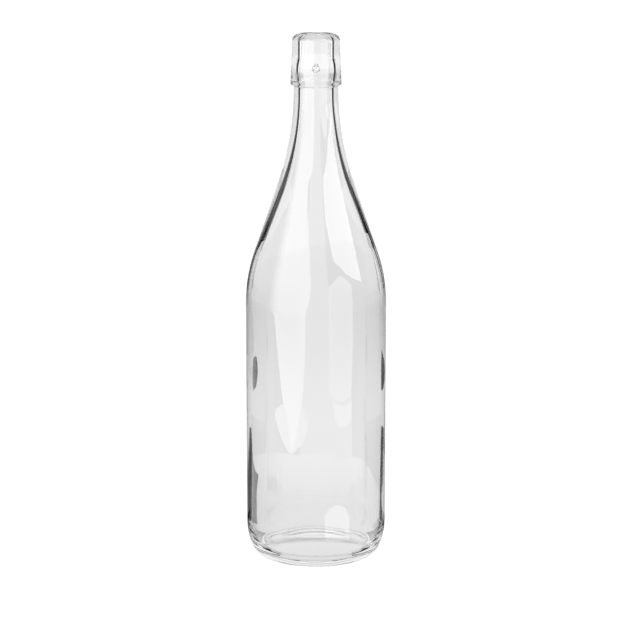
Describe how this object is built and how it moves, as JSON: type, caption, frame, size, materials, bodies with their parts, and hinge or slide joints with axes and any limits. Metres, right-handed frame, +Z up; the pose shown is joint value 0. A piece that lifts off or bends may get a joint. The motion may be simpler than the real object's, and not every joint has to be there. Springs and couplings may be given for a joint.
{
  "type": "swing top bottle",
  "caption": "Clear round glass bottle with a long sloping shoulder, a thick bead at the mouth and two side sockets for a swing-top closure.",
  "frame": {"origin": "centre of the foot, on the plane that the bearing ring stands on", "axes": "+Z up along the bottle's axis; the two bail sockets lie on the Y axis, one facing -Y and one facing +Y"},
  "size_m": [0.085, 0.085, 0.319],
  "materials": {
    "glass": "clear colourless flint glass, fire polished, smooth outside, slightly wavy inside"
  },
  "bodies": {
    "root": {"bottle": "glass"}
  },
  "joints": []
}
